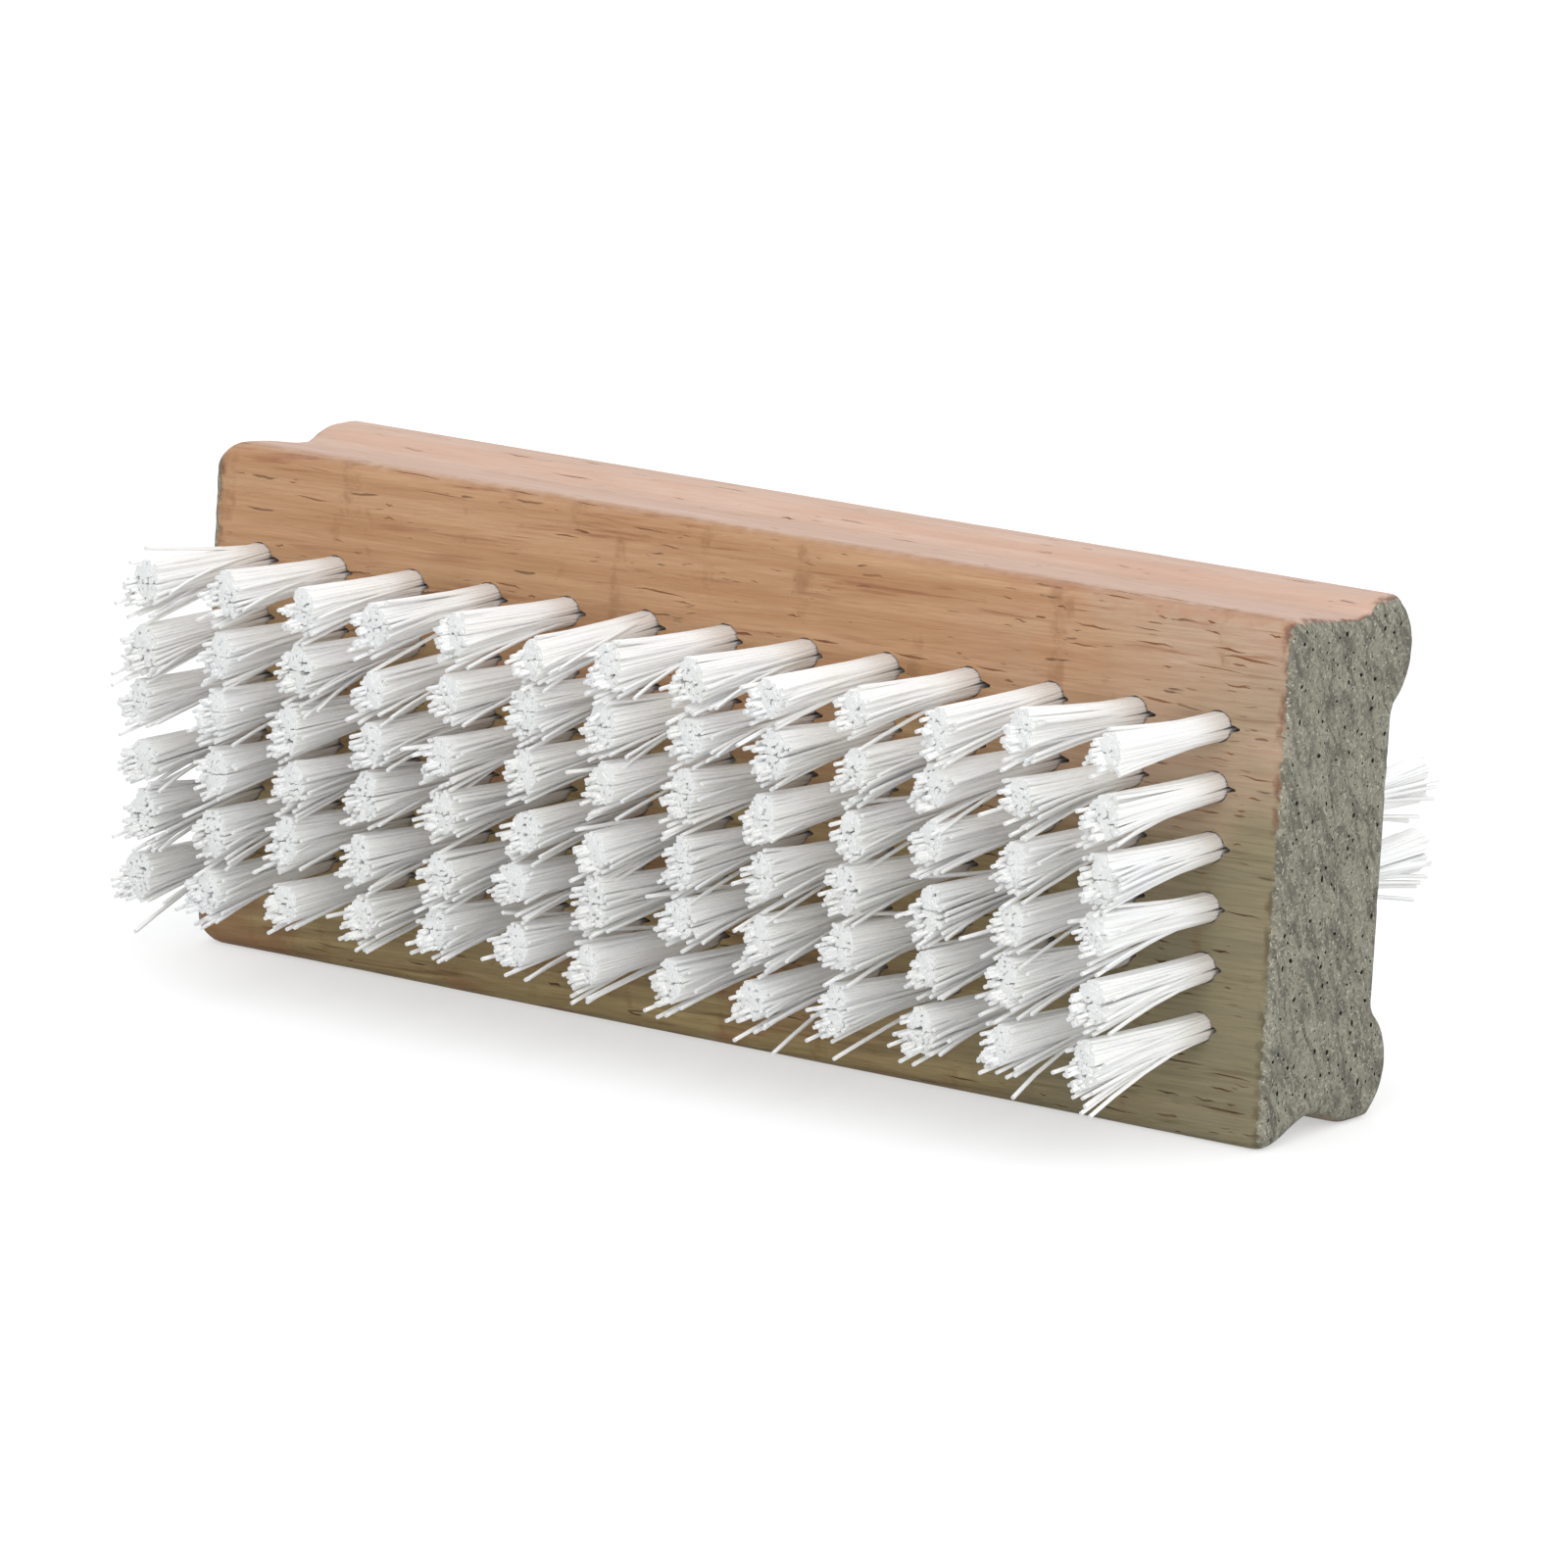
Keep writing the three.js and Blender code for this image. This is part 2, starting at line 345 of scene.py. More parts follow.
# Slow change of tone over a surface
def makeDriftGroup():
    tree, given, result = newGroup("toneDrift", {"Scale": 0.1, "Low": 0.9, "High": 1.1}, ["Tone"])
    field = cloud(tree, given.outputs["Position"], given.outputs["Scale"])
    tone = fade(tree, field, *noiseSpan, given.outputs["Low"], given.outputs["High"])
    feed(tree, result.inputs["Tone"], tone)
    return tree


grainGroup = makeGrainGroup(grainLayers, crossMarks)
poreGroup = makePoreGroup(vesselLook)
driftGroup = makeDriftGroup()

woodLook = {
    "pale": tint(181, 144, 109),
    "warm": tint(165, 123, 86),
    "deep": tint(141, 95, 64),
    # Olive tones of the foot: partly wood tone, partly painted shade that darkens the block towards the
    # bottom
    "oliveShade": tint(168, 148, 103),
    "oliveShadeDark": tint(127, 108, 73),
    "oliveShadeGrey": tint(126, 120, 97),
    "oliveShadeDeep": tint(82, 72, 46),
    "rust": tint(134, 88, 57),
    "torn": tint(168, 121, 94),
    "greyed": tint(178, 156, 137),
    # Pink of the top: wood tone made paler as painted sheen
    "pinkSheen": tint(211, 182, 166),
    "pinkSheenDeep": tint(199, 164, 145),
    "mark": tint(122, 82, 46),
    "markShare": 0.45,
    "pore": tint(98, 64, 44),
    # Pores lower down are darker, as the foot is: partly painted shade
    "lowPoreShade": tint(76, 60, 38),
    # Near-black of the pits in the sawn ends: painted shade inside them
    "pit": tint(34, 30, 25),
    # End tones: grey-green, partly painted shade; the dark tone goes into the hollows of the ridges and
    # grit as painted shade, partly grain
    "end": tint(148, 145, 129),
    "endDark": tint(86, 84, 74),
    "endSpeck": tint(204, 201, 186),
    "lip": tint(118, 82, 60),
    # Lower lip tone: darker olive, partly painted shade like the foot's
    "lipLowShade": tint(92, 82, 58),
    "slant": math.radians(2.0),
    "endLean": math.radians(-30),
    "longPores": {"Length": 9.0, "Spacing": 0.6, "Size": 0.17, "Keep": 0.5},
    "finePores": {"Length": 4.0, "Spacing": 0.36, "Size": 0.16, "Keep": 0.45},
    "finePoreShare": 0.5,
    "sidePoreShare": 0.7,
    "endPoreShare": 0.85,
    "fray": {"scale": 0.9, "detail": 4},
    "frayReach": 1.8,
    "ragged": {"scale": 1.6},
    "raggedReach": 1.1,
    "lipPatches": {"scale": 0.6},
    "roughness": (0.72, 0.5),
    "endRoughness": 0.85,
    "drilledRoughness": (0.9, 0.75),
    "poreRoughness": (0.95, 0.8),
    "fibreRelief": 0.25,
    "relief": (0.12 * mm, 0.8),
    "drilledRelief": (0.08 * mm, 0.6),
    "specular": 0.4,
}

# Where the tones change: start, end and, where they aren't 0 and 1, the two shares; places in millimetres
woodRamps = {
    "wander": (0.0, 1.0, -4.0, 4.0),
    # The foot, partly painted shade: it reaches higher towards the right end, is weaker on the back and
    # greyer at the right
    "rightDrop": (25.0, 45.0, 0.0, 6.0),
    "oliveShade": (32.0, 11.0),
    "oliveShadeAtBack": (-6.0, 6.0, 1.0, 0.55),
    "oliveShadeGrey": (12.0, 42.0, 0.0, 0.8),
    "rustStreaks": (20.0, -20.0, 0.1, 0.75),
    "rustPatches": (0.45, 1.0, 0.0, 0.6),
    "rustPatchPlace": (30.0, 0.0),
    "greyed": (18.0, 46.0, 0.0, 0.7),
    "topStreaks": (33.0, 37.5, 0.5, 0.9),
    "fibres": (0.0, 0.8, 0.3, 0.0),
    "planedDepth": (-7.45, -7.0),
    "planedHeight": (33.5, 37.0),
    "pinkSheen": (-6.4, -4.3, 0.0, 0.86),
    "pinkFibres": (0.0, 0.8, 0.6, 1.0),
    "tornFront": (-6.7, -6.1),
    "tornBack": (-5.3, -5.9),
    "tornHeight": (36.8, 38.0),
    "tornAlong": (5.0, 40.0, 0.1, 0.5),
    "topPores": (20.0, 42.0, 0.2, 0.5),
    "lip": (-1.2, -0.6),
    "lipPatches": (0.42, 0.62, 0.0, 0.95),
    "lipHeight": (14.0, 30.0),
    "end": (-0.6, -0.38),
    "poreHeight": (27.0, 15.0, 0.0, 0.85),
    "pit": (-1.0, -0.6),
}


def ramp(tree, value, name):
    return fade(tree, value, *woodRamps[name])


# Foot of the block: darker and more olive towards the bottom, partly wood tone and partly painted shade,
# with rust towards the left and grey towards the right
def oliveFootAndShade(tree, look, grain, along):
    color = mixOf(tree, grain["Bands"], look["oliveShadeDark"], look["oliveShade"])
    streaks = times(tree, grain["Streaks"], ramp(tree, along, "rustStreaks"))
    patches = ramp(tree, grain["Blotches"], "rustPatches")
    patches = times(tree, patches, ramp(tree, along, "rustPatchPlace"))
    color = mixOf(tree, mathOf(tree, "MAXIMUM", streaks, patches), color, look["rust"])
    return mixOf(tree, ramp(tree, along, "oliveShadeGrey"), color, look["oliveShadeGrey"])


# Planed top: pink wood tone, made paler as painted sheen from above, with a torn line along its front edge
def topToneAndSheen(tree, look, place, axes, grain, planed, color):
    frayed = mathOf(tree, "MULTIPLY_ADD", cloud(tree, place, **look["fray"]), look["frayReach"], axes["Y"])
    streaks = times(tree, grain["Bands"], ramp(tree, grain["Fibres"], "pinkFibres"))
    pinkSheen = mixOf(tree, streaks, look["pinkSheenDeep"], look["pinkSheen"])
    # Painted sheen: the top's pink is written pale, as if lit from above
    pinkSheenShare = times(tree, ramp(tree, frayed, "pinkSheen"), planed)
    color = mixOf(tree, pinkSheenShare, color, pinkSheen)
    torn = times(tree, ramp(tree, frayed, "tornFront"), ramp(tree, frayed, "tornBack"))
    torn = times(tree, torn, ramp(tree, axes["Z"], "tornHeight"))
    torn = times(tree, torn, ramp(tree, axes["X"], "tornAlong"))
    return mixOf(tree, torn, color, look["torn"])


# Long sides: tan, greyer at the right, running into the olive foot with its painted shade and the planed
# top with its painted sheen
def sideTone(tree, look, place, axes, grain, planed):
    wander = ramp(tree, grain["Blotches"], "wander")
    height = mathOf(tree, "ADD", axes["Z"], wander)
    along = mathOf(tree, "ADD", axes["X"], wander)
    # Painted shade: the foot darkens the sides towards the bottom
    lowered = mathOf(tree, "SUBTRACT", height, ramp(tree, along, "rightDrop"))
    footShadeShare = fade(tree, lowered, *woodRamps["oliveShade"], 0.0, ramp(tree, axes["Y"], "oliveShadeAtBack"))
    color = mixOf(tree, grain["Bands"], look["warm"], look["pale"])
    color = mixOf(tree, ramp(tree, along, "greyed"), color, look["greyed"])
    color = mixOf(tree, footShadeShare, color, oliveFootAndShade(tree, look, grain, along))
    color = mixOf(tree, times(tree, grain["CrossMarks"], look["markShare"]), color, look["mark"])
    deep = mixOf(tree, footShadeShare, look["deep"], look["oliveShadeDeep"])
    streakShare = times(tree, grain["Streaks"], ramp(tree, axes["Z"], "topStreaks"))
    color = mixOf(tree, streakShare, color, deep)
    color = mixOf(tree, ramp(tree, grain["Fibres"], "fibres"), color, deep)
    return topToneAndSheen(tree, look, place, axes, grain, planed, color)


endLook = {
    "ridgeStretch": (0.2, 0.9, 0.34),
    "ridges": {"detail": 5, "roughness": 0.65, "distortion": 0.9},
    "ridgeRamp": (0.65, 0.42, 0.2, 1.0),
    "ridgeRelief": -1.2,
    "grit": {"scale": 2.8, "detail": 5, "roughness": 0.8},
    "gritRamp": (0.5, 0.62, 0.0, 0.8),
    "gritRelief": -0.8,
    "specks": {"scale": 4.2, "detail": 2, "roughness": 0.6},
    "speckRamp": (0.58, 0.68, 0.0, 0.6),
}


# Sawn ends: grey cross-grain in steep ridges with pale specks; the grey-green is partly painted shade, and
# the sunk ridges and grit are painted darker as shade, partly grain
def endTone(tree, look, ends, place, pores):
    leaning = stretched(tree, place, (1, 1, 1), (look["endLean"], 0, 0))
    ridges = cloud(tree, stretched(tree, leaning, ends["ridgeStretch"]), **ends["ridges"])
    grit = cloud(tree, place, **ends["grit"])
    specks = cloud(tree, place, **ends["specks"])
    # Darker where the ridges and grit sink the bump: painted shade in the hollows, partly grain
    color = mixOf(tree, fade(tree, ridges, *ends["ridgeRamp"]), look["endDark"], look["end"])
    color = mixOf(tree, fade(tree, grit, *ends["gritRamp"]), color, look["endDark"])
    color = mixOf(tree, fade(tree, specks, *ends["speckRamp"]), color, look["endSpeck"])
    relief = times(tree, ridges, ends["ridgeRelief"])
    relief = mathOf(tree, "MULTIPLY_ADD", grit, ends["gritRelief"], relief)
    return mixOf(tree, times(tree, pores, look["endPoreShare"]), color, look["pore"]), relief


# How far a point lies past the end of the block, below nought inside it
def pastEnd(tree, axes):
    sideways = mathOf(tree, "ABSOLUTE", axes["X"])
    return mathOf(tree, "SUBTRACT", sideways, blockHigh.x / mm)


def makeBlockWood(look, ends):
    material, tree, shader, place = newMaterial("blockWood")
    axes = addNode(tree, "ShaderNodeSeparateXYZ", {"Vector": place}).outputs
    slanted = {"Position": place, "Slant": look["slant"]}
    grain = useGroup(tree, grainGroup, slanted)
    longPores = useGroup(tree, poreGroup, {**slanted, **look["longPores"]})["Mask"]
    finePores = useGroup(tree, poreGroup, {**slanted, **look["finePores"]})["Mask"]
    pores = mathOf(tree, "MAXIMUM", longPores, times(tree, finePores, look["finePoreShare"]))
    planed = times(tree, ramp(tree, axes["Y"], "planedDepth"), ramp(tree, axes["Z"], "planedHeight"))
    side = sideTone(tree, look, place, axes, grain, planed)
    topPores = ramp(tree, axes["X"], "topPores")
    poreShare = times(tree, pores, fade(tree, planed, 0.0, 1.0, look["sidePoreShare"], topPores))
    side = mixOf(tree, poreShare, side, look["pore"])
    end, endRelief = endTone(tree, look, ends, place, pores)

    # The end's tone starts along a ragged line, with a darker lip on the side that it runs into
    ragged = cloud(tree, place, **look["ragged"])
    ragged = mathOf(tree, "MULTIPLY_ADD", ragged, look["raggedReach"], -look["raggedReach"] / 2)
    past = mathOf(tree, "ADD", pastEnd(tree, axes), ragged)
    endShare = ramp(tree, past, "end")
    lipPatches = ramp(tree, cloud(tree, place, **look["lipPatches"]), "lipPatches")
    lipShare = times(tree, ramp(tree, past, "lip"), lipPatches)
    # Lower down the lip takes the foot's darker olive: partly painted shade
    lip = mixOf(tree, ramp(tree, axes["Z"], "lipHeight"), look["lipLowShade"], look["lip"])
    color = mixOf(tree, lipShare, side, lip)
    feed(tree, shader.inputs["Base Color"], mixOf(tree, endShare, color, end))

    rough = fade(tree, grain["Fibres"], 0.0, 1.0, *look["roughness"])
    feed(tree, shader.inputs["Roughness"], mixValues(tree, endShare, rough, look["endRoughness"]))
    relief = mathOf(tree, "MULTIPLY_ADD", grain["Fibres"], look["fibreRelief"], times(tree, pores, -1.0))
    relief = mathOf(tree, "MULTIPLY_ADD", endRelief, endShare, relief)
    addBump(tree, shader, relief, *look["relief"])
    shader.inputs["Specular IOR Level"].default_value = look["specular"]
    return material


def makeDrilledWood(look):
    material, tree, shader, place = newMaterial("drilledWood")
    grain = useGroup(tree, grainGroup, {"Position": place, "Slant": look["slant"]})
    drift = useGroup(tree, driftGroup, {"Position": place, "Scale": 1.2, "Low": 0.5, "High": 1.0})
    color = mixOf(tree, grain["Fibres"], look["pore"], look["deep"])
    color = mixOf(tree, mathOf(tree, "SUBTRACT", 1.0, drift["Tone"]), color, look["pore"])
    feed(tree, shader.inputs["Base Color"], color)
    feed(tree, shader.inputs["Roughness"], fade(tree, grain["Fibres"], 0.0, 1.0, *look["drilledRoughness"]))
    addBump(tree, shader, grain["Fibres"], *look["drilledRelief"])
    return material


def makeOpenPore(look):
    material, tree, shader, place = newMaterial("openPore")
    axes = addNode(tree, "ShaderNodeSeparateXYZ", {"Vector": place}).outputs
    grain = useGroup(tree, grainGroup, {"Position": place, "Slant": look["slant"]})
    drift = useGroup(tree, driftGroup, {"Position": place, "Scale": 0.6, "Low": 0.0, "High": 0.55})
    color = mixOf(tree, drift["Tone"], look["deep"], look["warm"])
    # Lower down the pores darken like the foot: partly painted shade
    color = mixOf(tree, ramp(tree, axes["Z"], "poreHeight"), color, look["lowPoreShade"])
    # The pits near the ends are painted near-black: painted shade inside the holes
    color = mixOf(tree, ramp(tree, pastEnd(tree, axes), "pit"), color, look["pit"])
    feed(tree, shader.inputs["Base Color"], color)
    feed(tree, shader.inputs["Roughness"], fade(tree, grain["Fibres"], 0.0, 1.0, *look["poreRoughness"]))
    return material


nylonLook = {
    "white": tint(252, 252, 251),
    "cool": tint(246, 247, 249),
    "coolShare": 0.8,
    "cream": tint(247, 246, 240),
    "creamShare": 0.45,
    "shaded": tint(216, 210, 204),
    "shadedRamp": (0.0, 5.5, 0.8, 0.0),  # millimetres out from the bristled face
    # Cut ends: painted shade, darker than the sides, so that the ends facing the lamps look no brighter
    # than the sides
    "cut": tint(209, 210, 210),
    "streakStretch": (3.0, 0.12, 3.0),
    "roughness": (0.32, 0.5),
    "relief": (0.02 * mm, 0.4),
    "specular": 0.4,
}


def makeTuftNylon(look):
    material, tree, shader, place = newMaterial("tuftNylon")
    tone = addNode(tree, "ShaderNodeAttribute", attribute_name="filamentTone").outputs["Fac"]
    drift = useGroup(tree, driftGroup, {"Position": place, "Scale": 0.16, "Low": 0.0, "High": 1.0})
    color = mixOf(tree, fade(tree, tone, 0.0, 1.0, 0.0, look["coolShare"]), look["white"], look["cool"])
    color = mixOf(tree, times(tree, drift["Tone"], look["creamShare"]), color, look["cream"])
    depth = addNode(tree, "ShaderNodeSeparateXYZ", {"Vector": place}).outputs["Y"]
    # Both bristled faces lie equally far from the middle of the block
    outwards = mathOf(tree, "SUBTRACT", mathOf(tree, "ABSOLUTE", depth), channelFloor / mm)
    color = mixOf(tree, fade(tree, outwards, *look["shadedRamp"]), color, look["shaded"])
    # The cut ends get the darker cut tone: painted shade
    cutEnd = addNode(tree, "ShaderNodeAttribute", attribute_name="cutEnd").outputs["Fac"]
    feed(tree, shader.inputs["Base Color"], mixOf(tree, cutEnd, color, look["cut"]))
    streaks = cloud(tree, stretched(tree, place, look["streakStretch"]))
    rough = fade(tree, streaks, *noiseSpan, *look["roughness"])
    feed(tree, shader.inputs["Roughness"], rough)
    addBump(tree, shader, streaks, *look["relief"])
    shader.inputs["Specular IOR Level"].default_value = look["specular"]
    return material


wireLook = {
    "steel": tint(182, 182, 178),
    "dull": tint(128, 126, 120),
    "drawnStretch": (0.8, 9.0, 9.0),
    "roughness": (0.28, 0.5),
    "relief": (0.01 * mm, 0.4),
}


def makeStapleSteel(look):
    material, tree, shader, place = newMaterial("stapleSteel")
    drift = useGroup(tree, driftGroup, {"Position": place, "Scale": 0.7, "Low": 0.0, "High": 0.7})
    feed(tree, shader.inputs["Base Color"], mixOf(tree, drift["Tone"], look["steel"], look["dull"]))
    drawn = cloud(tree, stretched(tree, place, look["drawnStretch"]))
    feed(tree, shader.inputs["Roughness"], fade(tree, drawn, *noiseSpan, *look["roughness"]))
    addBump(tree, shader, drawn, *look["relief"])
    shader.inputs["Metallic"].default_value = 1
    return material


blockWood = makeBlockWood(woodLook, endLook)
drilledWood = makeDrilledWood(woodLook)
openPore = makeOpenPore(woodLook)
tuftNylon = makeTuftNylon(nylonLook)
stapleSteel = makeStapleSteel(wireLook)
print("materials made")

# Floor and light
stageLook = {
    "floorSide": 8.0,
    "floorTone": 0.6,
    "floorGlow": 0.48,
    "worldTone": (0.97, 0.985, 1.0, 1),
    "worldStrength": 1.03,
    "lampSize": 0.9,
    "lamps": [
        {"name": "sideLamp", "place": (0.9, -0.62, 0.4), "power": 2.0, "tone": (1, 0.985, 0.965)},
        {"name": "frontLamp", "place": (0.4, -0.94, 0.3), "power": 5.2, "tone": (1, 0.99, 0.975)},
    ],
}


def makeFloor(look):
    half = look["floorSide"] / 2
    corners = [(-half, -half, 0), (half, -half, 0), (half, half, 0), (-half, half, 0)]
    floor = newObject("paperFloor", meshFrom("paperFloor", corners, [(0, 1, 2, 3)], smooth=False))
    material, tree = emptyMaterial("whitePaper")
    paper = addNode(tree, "ShaderNodeBsdfDiffuse", {"Color": (look["floorTone"],) * 3 + (1,)})
    ray = addNode(tree, "ShaderNodeLightPath")
    seen = mathOf(tree, "MAXIMUM", ray.outputs["Is Camera Ray"], ray.outputs["Is Glossy Ray"])
    seen = mathOf(tree, "MAXIMUM", seen, ray.outputs["Is Transmission Ray"])
    glow = addNode(tree, "ShaderNodeEmission", {"Strength": times(tree, seen, look["floorGlow"])})
    both = addNode(tree, "ShaderNodeAddShader", {0: paper.outputs[0], 1: glow.outputs[0]})
    addNode(tree, "ShaderNodeOutputMaterial", {"Surface": both.outputs[0]})
    floor.data.materials.append(material)


def makeLights(look):
    world = bpy.data.worlds.new("softRoom")
    world.use_nodes = True
    back = world.node_tree.nodes["Background"]
    back.inputs["Color"].default_value = look["worldTone"]
    back.inputs["Strength"].default_value = look["worldStrength"]
    bpy.context.scene.world = world
    middle = Vector((0, 0, middleHeight))
    for lamp in look["lamps"]:
        data = bpy.data.lights.new(lamp["name"], "AREA")
        data.size = look["lampSize"]
        data.energy = lamp["power"]
        data.color = lamp["tone"]
        made = newObject(lamp["name"], data)
        made.location = lamp["place"]
        made.rotation_euler = (middle - made.location).to_track_quat("-Z", "Y").to_euler()


makeFloor(stageLook)
makeLights(stageLook)
print("floor and lights made")

# Wooden block
blockShape = {
    "arris": 1.2 * mm,
    "topGrip": 1.0 * mm,
    "topGripToRim": 3.0 * mm,
    "bottomGrip": 1.5 * mm,
    "bottomGripToRim": 6.5 * mm,
    "beadRadius": 4.9 * mm,
    "coveRadius": 1.5 * mm,
    "rimCornerDrop": 1.9 * mm,
    "rimEdge": 2.1 * mm,
    "steps": {"arris": 6, "grip": 36, "rimEdge": 4, "bead": 24, "cove": 6},
    "leftCorner": 2.0 * mm,
    "rightCorner": 1.2 * mm,
    "cornerReach": 6.0 * mm,
    "endEdge": 0.45 * mm,
    "step": 0.5 * mm,
    # Rings stand closer near the ends
    "nearEnd": np.array([0, 0.03, 0.1, 0.2, 0.32, 0.46, 0.7, 1.0, 1.4, 1.9, 2.4]) * mm,
    "waves": 0.05 * mm,
    "waveLengths": (16 * mm, 5 * mm, 5 * mm),
    "ripples": 0.0125 * mm,
    "rippleLengths": (2.5 * mm, 1 * mm, 1 * mm),
    "chips": 0.16 * mm,
    "chipLengths": (3 * mm, 0.9 * mm, 0.9 * mm),
    "chipShift": 7,
    "chipReach": 1.2 * mm,
    "sharpAngle": math.radians(38),
}


def arc(y, z, radius, start, end, steps):
    angles = np.linspace(start, end, steps + 1)
    return [(y + radius * math.cos(a), z + radius * math.sin(a)) for a in angles]


# One edge of the section, from the front face to the channel floor, heights above the middle
def edgeCurve(shape, gripDepth, gripToRim):
    top = middleHeight
    arris = shape["arris"]
    steps = shape["steps"]
    gripStart = blockLow.y + arris
    points = arc(gripStart, top - arris, arris, math.pi, math.pi / 2, steps["arris"])
    rimCorner = blockHigh.y - shape["rimCornerDrop"]
    gripEnd = rimCorner - shape["rimEdge"]
    deepest = gripEnd - gripToRim
    for t in np.linspace(-1, 1, steps["grip"] + 1)[1:]:
        y = deepest + t * (deepest - gripStart if t < 0 else gripToRim)
        points.append((y, top - gripDepth / 2 * (1 + math.cos(math.pi * t))))
    flat = np.linspace(0, 1, steps["rimEdge"] + 1)[1:-1]
    points += [(gripEnd + shape["rimEdge"] * t, top) for t in flat]
    bead = shape["beadRadius"]
    cove = shape["coveRadius"]
    beadY = blockHigh.y - bead
    corner = math.acos((rimCorner - beadY) / bead)
    beadZ = top - bead * math.sin(corner)
    turn = math.acos((channelFloor + cove - beadY) / (bead + cove))
    coveZ = beadZ - (bead + cove) * math.sin(turn)
    points += arc(beadY, beadZ, bead, corner, -turn, steps["bead"])[:-1]
    points += arc(channelFloor + cove, coveZ, cove, math.pi - turn, math.pi, steps["cove"])
    return points


def between(first, last, step):
    count = max(2, round(math.dist(first, last) / step))
    return [tuple(np.add(first, np.subtract(last, first) * i / count)) for i in range(1, count)]


def blockSection(shape):
    upper = edgeCurve(shape, shape["topGrip"], shape["topGripToRim"])
    lower = [(y, -z) for y, z in edgeCurve(shape, shape["bottomGrip"], shape["bottomGripToRim"])][::-1]
    loop = upper + between(upper[-1], lower[0], shape["step"]) + lower
    loop += between(lower[-1], upper[0], shape["step"])
    return np.array(loop) + (0, middleHeight)


def outwardOf(loop):
    tangent = np.roll(loop, -1, axis=0) - np.roll(loop, 1, axis=0)
    tangent /= np.linalg.norm(tangent, axis=1)[:, None]
    return np.stack([-tangent[:, 1], tangent[:, 0]], axis=1)


def roundedDrop(distance, radius):
    inside = np.clip(radius - distance, 0, radius)
    return radius - np.sqrt(radius ** 2 - inside ** 2)


def noiseAt(place, lengths, shift=0):
    x, y, z = (value / length for value, length in zip(place, lengths))
    return noise.noise((x + shift, y, z))


def buildBlock(shape, net, loop, outward):
    count = len(loop)
    half = blockHigh.x
    nearEnd = shape["nearEnd"]
    inner = np.arange(-half + nearEnd[-1] + shape["step"], half - nearEnd[-1], shape["step"])
    stations = np.concatenate([-half + nearEnd, inner, (half - nearEnd)[::-1]])
    height = loop[:, 1] - middleHeight
    cornerShare = (np.abs(height) - (middleHeight - shape["cornerReach"])) / shape["cornerReach"]
    cornerShare = np.clip(cornerShare, 0, 1) ** 2
    points = []
    for x in stations:
        toEnd = half - abs(x)
        drop = roundedDrop(toEnd, shape["leftCorner"] if x < 0 else shape["rightCorner"])
        ring = loop.copy()
        ring[:, 1] -= np.sign(height) * cornerShare * drop
        worn = roundedDrop(toEnd, shape["endEdge"])
        chipShare = max(0, 1 - toEnd / shape["chipReach"])
        for i in range(count):
            place = (x, *loop[i])
            wave = noiseAt(place, shape["waveLengths"]) * shape["waves"]
            wave += noiseAt(place, shape["rippleLengths"]) * shape["ripples"]
            chip = max(0, noiseAt(place, shape["chipLengths"], shape["chipShift"])) * shape["chips"]
            ring[i] += outward[i] * (min(0, wave) - worn - chip * chipShare)
        points += [(x, y, z) for y, z in ring]
    polygons = []
    joinRings(polygons, 0, len(stations), count)
    for side in (0, 1):
        addCap(points, polygons, side * (len(stations) - 1) * count, count, side, net)
    return closedMesh("wood_block_turned", points, polygons)


# Sawn end: a net of triangles inside the section, raised and sunk in steep ridges
endNet = {
    "step": 0.38 * mm,
    "jitter": 0.3,  # of a step
    "rimClear": 0.6,  # of a step
    "lean": woodLook["endLean"],
    "depth": 0.12 * mm,
    "level": 0.4,
    "ridgeLengths": (1, 0.75 * mm, 2.4 * mm),
    "ridgeShift": 9,
    "grit": 0.5,  # of the ridges
    "gritLengths": (1, 0.5 * mm, 0.7 * mm),
    "gritShift": 5,
    "fadeReach": 1.5 * mm,  # flat along the rim
    "seed": 41,
}


def sawnRelief(y, z, side, net):
    across = y * math.cos(net["lean"]) - z * math.sin(net["lean"])
    along = y * math.sin(net["lean"]) + z * math.cos(net["lean"])
    ridge = noiseAt((0, across, along), net["ridgeLengths"], side * net["ridgeShift"])
    ridge += net["grit"] * noiseAt((0, y, z), net["gritLengths"], side * net["gritShift"])
    return net["depth"] * (net["level"] + ridge)


def addCap(points, polygons, start, count, side, net):
    rim = [Vector((points[start + i][1], points[start + i][2])) for i in range(count)]
    rimArray = np.array(rim)

    def toRim(spot):
        return np.min(np.hypot(*(rimArray - np.array(spot)).T))

    step = net["step"]
    seeds = np.random.default_rng(net["seed"] + side)
    inside = []
    for y in np.arange(blockLow.y, blockHigh.y, step):
        for z in np.arange(0, blockHigh.z, step):
            shift = seeds.uniform(-net["jitter"], net["jitter"], 2) * step
            inside.append(Vector((y, z)) + Vector(shift))
    edges = [(i, (i + 1) % count) for i in range(count)]
    clear = [spot for spot in inside if toRim(spot) > step * net["rimClear"]]
    made = delaunay_2d_cdt(rim + clear, edges, [], 1, 1e-9)
    flat, triangles, origins = made[0], made[2], made[3]
    x = points[start][0]
    inward = -1 if x > 0 else 1
    place = {}
    for index, origin in enumerate(origins):
        if origin and origin[0] < count:
            place[index] = start + origin[0]
        else:
            y, z = flat[index]
            share = min(1, toRim((y, z)) / net["fadeReach"])
            place[index] = len(points)
            points.append((x + inward * share * sawnRelief(y, z, side, net), y, z))
    for triangle in triangles:
        polygons.append(tuple(place[i] for i in triangle))


